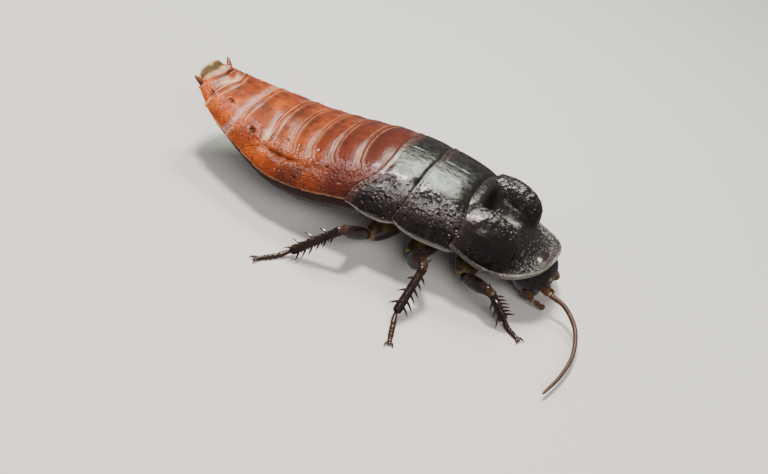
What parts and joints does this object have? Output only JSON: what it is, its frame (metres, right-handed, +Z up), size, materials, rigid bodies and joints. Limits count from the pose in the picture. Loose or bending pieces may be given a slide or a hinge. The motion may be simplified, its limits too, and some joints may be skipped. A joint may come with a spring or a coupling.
{
  "type": "madagascar hissing cockroach",
  "caption": "Life-size still model of a male hissing cockroach standing on a floor, tail raised, feelers forward and back.",
  "frame": {"origin": "on the floor, below the middle of the whole model's length and width", "axes": "+X from the tail to the head, +Y to the animal's left, +Z up from the floor"},
  "size_m": [0.0837, 0.0614, 0.0185],
  "materials": {
    "thorax_plate": "glossy black-brown horn-like shell, punctured at the sides",
    "head": "smooth glossy black shell",
    "abdomen_plate": "glossy rust-red to mahogany shell with thin pale hind edges",
    "belly": "satin red-brown shell, darker at the sides",
    "chest": "dull olive-brown soft skin",
    "leg": "glossy dark brown shell with spurs",
    "feeler": "dull brown, finely ringed",
    "cercus": "dark red shell",
    "eye": "black, finely faceted"
  },
  "bodies": {
    "root": {"abdomen_underside": "belly", "antenna_left_1": "feeler", "antenna_left_2": "feeler", "antenna_left_3": "feeler", "antenna_right_1": "feeler", "antenna_right_2": "feeler", "antenna_right_3": "feeler", "cercus_left": "cercus", "cercus_right": "cercus", "coxa_fore_left": "leg", "coxa_fore_right": "leg", "coxa_hind_left": "leg", "coxa_hind_right": "leg", "coxa_mid_left": "leg", "coxa_mid_right": "leg", "eye_left": "eye", "eye_right": "eye", "femur_fore_left": "leg", "femur_fore_right": "leg", "femur_hind_left": "leg", "femur_hind_right": "leg", "femur_mid_left": "leg", "femur_mid_right": "leg", "head": "head", "horn_left": "thorax_plate", "horn_right": "thorax_plate", "mesonotum": "thorax_plate", "metanotum": "thorax_plate", "palp_left": "feeler", "palp_right": "feeler", "pronotum": "thorax_plate", "supra_anal_plate": "abdomen_plate", "tarsus_fore_left": "leg", "tarsus_fore_right": "leg", "tarsus_hind_left": "leg", "tarsus_hind_right": "leg", "tarsus_mid_left": "leg", "tarsus_mid_right": "leg", "tergite_1": "abdomen_plate", "tergite_2": "abdomen_plate", "tergite_3": "abdomen_plate", "tergite_4": "abdomen_plate", "tergite_5": "abdomen_plate", "tergite_6": "abdomen_plate", "tergite_7": "abdomen_plate", "tergite_8_9": "abdomen_plate", "thorax_underside": "chest", "tibia_fore_left": "leg", "tibia_fore_right": "leg", "tibia_hind_left": "leg", "tibia_hind_right": "leg", "tibia_mid_left": "leg", "tibia_mid_right": "leg"}
  },
  "joints": []
}
